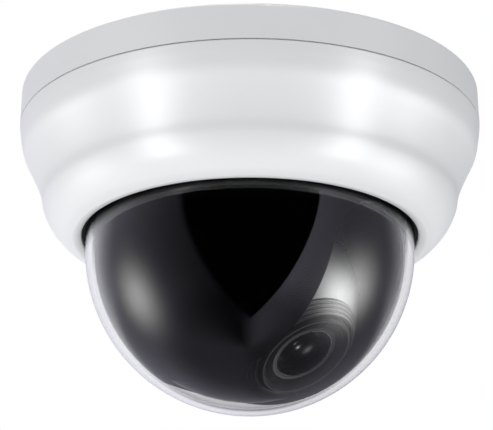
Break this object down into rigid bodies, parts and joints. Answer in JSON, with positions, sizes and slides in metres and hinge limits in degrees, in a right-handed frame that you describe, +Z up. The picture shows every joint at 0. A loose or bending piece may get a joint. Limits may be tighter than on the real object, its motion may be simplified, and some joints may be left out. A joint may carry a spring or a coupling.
{
  "type": "dome cctv camera",
  "caption": "Ceiling dome camera: white two-piece housing, clear bubble, black liner, and a varifocal lens on a pan, tilt and rotation gimbal.",
  "frame": {"origin": "centre of the ceiling face, where the circle of ceiling screws is centred", "axes": "+Z up into the ceiling, so the camera hangs below the origin; the lens looks down towards +X and -Y at rest"},
  "size_m": [0.13, 0.13, 0.093],
  "materials": {
    "white_base": "satin white moulding",
    "white_cover": "glossy white moulding",
    "clear_bubble": "clear polished polycarbonate",
    "seal_rubber": "matt black",
    "black_liner": "fine matt black",
    "black_shroud": "satin black",
    "black_moulding": "matt black moulding",
    "lens_black": "black anodised",
    "bright_ring": "turned bright",
    "lens_glass": "coated",
    "filter_glass": "clear",
    "board_green": "solder mask",
    "chip_black": "moulded chip",
    "can_aluminium": "satin can",
    "ferrite": "matt ferrite",
    "terminal_green": "satin",
    "connector_ivory": "satin",
    "button_red": "satin",
    "screw_steel": "zinc plated",
    "spring_steel": "bright spring strip"
  },
  "bodies": {
    "base": {"mounting_base": "white_base", "snap_ring": "white_base", "base_spacers": "screw_steel", "side_entry_plug": "white_base", "cable_grommet": "seal_rubber", "main_board": "board_green", "board_screws": "screw_steel", "video_processor": "chip_black", "memory_chip": "chip_black", "capacitors": "can_aluminium", "inductor": "ferrite", "power_terminal": "terminal_green", "video_header": "connector_ivory", "harness_header": "connector_ivory", "reset_switch": "chip_black", "gimbal_plate": "black_moulding", "gimbal_plate_screws": "screw_steel", "cover_springs": "spring_steel", "spring_screws": "screw_steel"},
    "cover": {"dome_cover": "white_cover", "cover_lip": "white_cover", "dome_bubble": "clear_bubble", "bubble_flange": "clear_bubble", "bubble_gasket": "seal_rubber", "bubble_retaining_ring": "black_moulding", "retaining_ring_screws": "screw_steel"},
    "reset_button": {"reset_button": "button_red"},
    "pan_carriage": {"pan_turntable": "black_moulding", "pan_retaining_washer": "black_moulding", "carriage_screws": "screw_steel", "pan_lock_screw": "screw_steel", "yoke_arm_left": "black_moulding", "yoke_arm_right": "black_moulding", "inner_liner": "black_liner", "liner_collar": "black_liner", "tilt_pawl": "spring_steel"},
    "slot_shutter": {"slot_shutter": "black_liner"},
    "tilt_head": {"eyeball_shell": "black_shroud", "stepped_bezel": "black_shroud", "tilt_frame": "black_moulding", "tilt_ratchet": "black_moulding", "tilt_pivot_screws": "screw_steel", "tilt_friction_washers": "black_moulding"},
    "lens_unit": {"lens_holder": "lens_black", "holder_retaining_ring": "lens_black", "lens_barrel": "lens_black", "sensor_board": "board_green", "sensor_board_screws": "screw_steel", "image_sensor": "chip_black", "ir_filter": "filter_glass", "sensor_connector": "connector_ivory"},
    "zoom_ring": {"zoom_ring": "lens_black", "zoom_lock_screw": "screw_steel"},
    "zoom_group": {"zoom_cell": "lens_black", "zoom_glass": "lens_glass"},
    "focus_ring": {"focus_ring": "lens_black", "focus_lock_screw": "screw_steel"},
    "front_group": {"front_housing": "lens_black", "front_retaining_ring": "bright_ring", "front_glass": "lens_glass"}
  },
  "joints": [
    {"name": "cover_pull", "type": "slide", "parent": "base", "child": "cover", "axis": [0, 0, -1], "range_m": [0, 0.1]},
    {"name": "reset_press", "type": "slide", "parent": "base", "child": "reset_button", "axis": [0, 0, 1], "range_m": [0, 0.0004], "stiffness_N_per_m": 700, "springref_m": -0.0006},
    {"name": "pan", "type": "hinge", "parent": "base", "child": "pan_carriage", "pos_m": [0, 0, -0.022], "axis": [0, 0, 1], "range_deg": [-175, 175]},
    {"name": "tilt", "type": "hinge", "parent": "pan_carriage", "child": "tilt_head", "pos_m": [0, 0, -0.053], "axis": [-0.5878, -0.809, 0], "range_deg": [-33.5, 41.5]},
    {"name": "shutter_turn", "type": "hinge", "parent": "pan_carriage", "child": "slot_shutter", "pos_m": [0, 0, -0.0474], "axis": [-0.5878, -0.809, 0], "range_deg": [-28.81, 35.69]},
    {"name": "lens_turn", "type": "hinge", "parent": "tilt_head", "child": "lens_unit", "pos_m": [0, 0, -0.053], "axis": [0.4465, -0.3244, -0.8339], "range_deg": [-90, 90]},
    {"name": "zoom_turn", "type": "hinge", "parent": "lens_unit", "child": "zoom_ring", "pos_m": [0, 0, -0.053], "axis": [0.4465, -0.3244, -0.8339], "range_deg": [-45, 45]},
    {"name": "zoom_shift", "type": "slide", "parent": "lens_unit", "child": "zoom_group", "axis": [0.4465, -0.3244, -0.8339], "range_m": [-0.0025, 0.0025]},
    {"name": "focus_turn", "type": "hinge", "parent": "lens_unit", "child": "focus_ring", "pos_m": [0, 0, -0.053], "axis": [0.4465, -0.3244, -0.8339], "range_deg": [-90, 0]},
    {"name": "focus_shift", "type": "slide", "parent": "lens_unit", "child": "front_group", "axis": [0.4465, -0.3244, -0.8339], "range_m": [-0.0012, 0]}
  ],
  "couplings": [
    {"joint": "shutter_turn", "follows": "tilt", "ratio": 0.86},
    {"joint": "zoom_shift", "follows": "zoom_turn", "m_per_rad": 0.003},
    {"joint": "focus_shift", "follows": "focus_turn", "m_per_rad": 0.00076}
  ]
}
